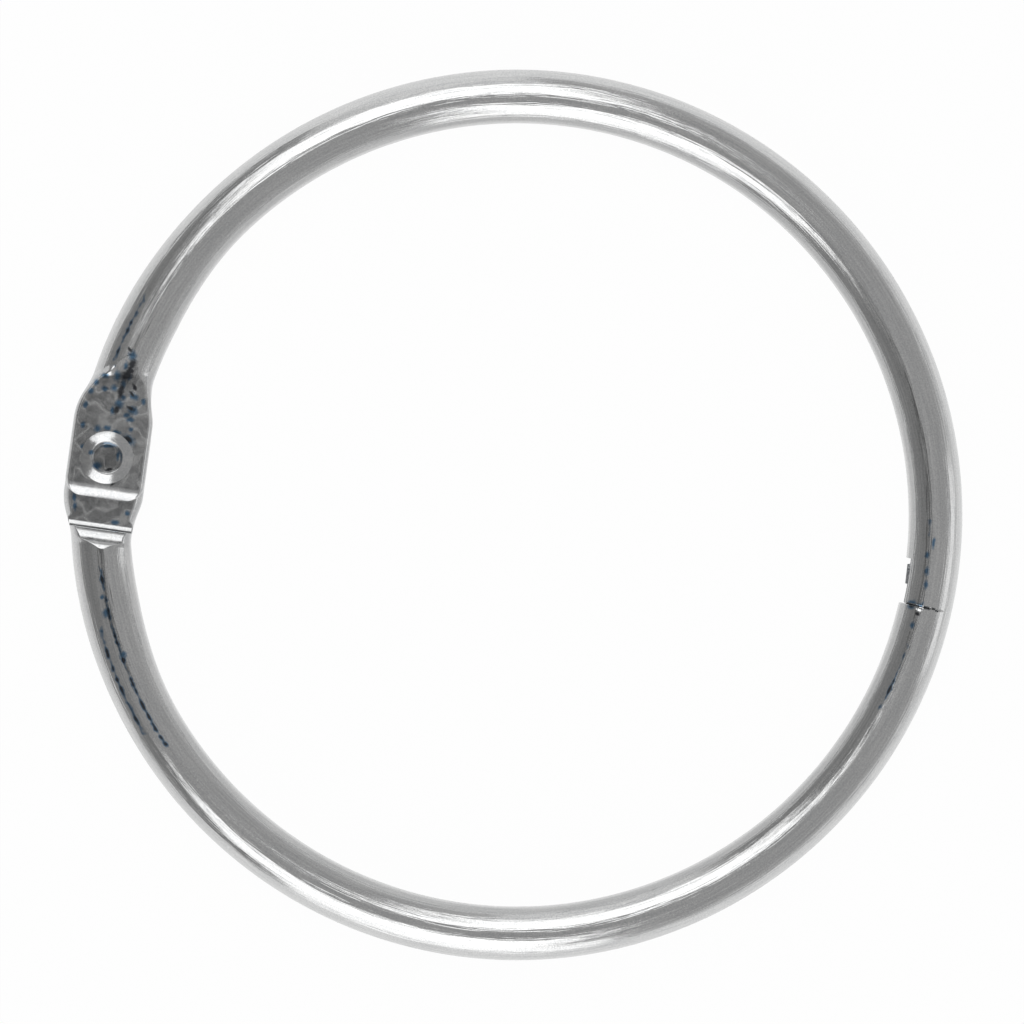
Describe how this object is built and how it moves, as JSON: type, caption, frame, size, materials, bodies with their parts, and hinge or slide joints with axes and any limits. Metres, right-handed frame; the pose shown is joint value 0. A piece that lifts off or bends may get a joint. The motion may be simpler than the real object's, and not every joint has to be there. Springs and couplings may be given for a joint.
{
  "type": "binder ring",
  "caption": "Hinged loose-leaf binder ring of round nickel-plated steel wire, with a lapped, riveted hinge and a tongue-and-slot closure that swings open.",
  "frame": {"origin": "centre of the closed ring, at the wire's mid-plane", "axes": "+Z along the ring's axis and the hinge pin's axis, -X towards the hinge, +X towards the closure, +Y towards the slotted half"},
  "size_m": [0.0582, 0.0578, 0.0038],
  "materials": {
    "nickel_plate": "bright nickel plate on steel wire"
  },
  "bodies": {
    "tongued": {"tongued_half": "nickel_plate", "hinge_rivet": "nickel_plate"},
    "slotted": {"slotted_half": "nickel_plate"}
  },
  "joints": [
    {"name": "ring_hinge", "type": "hinge", "parent": "tongued", "child": "slotted", "pos_m": [-0.02685, 0, 0], "axis": [0, 0, 1], "range_deg": [0, 125]}
  ]
}
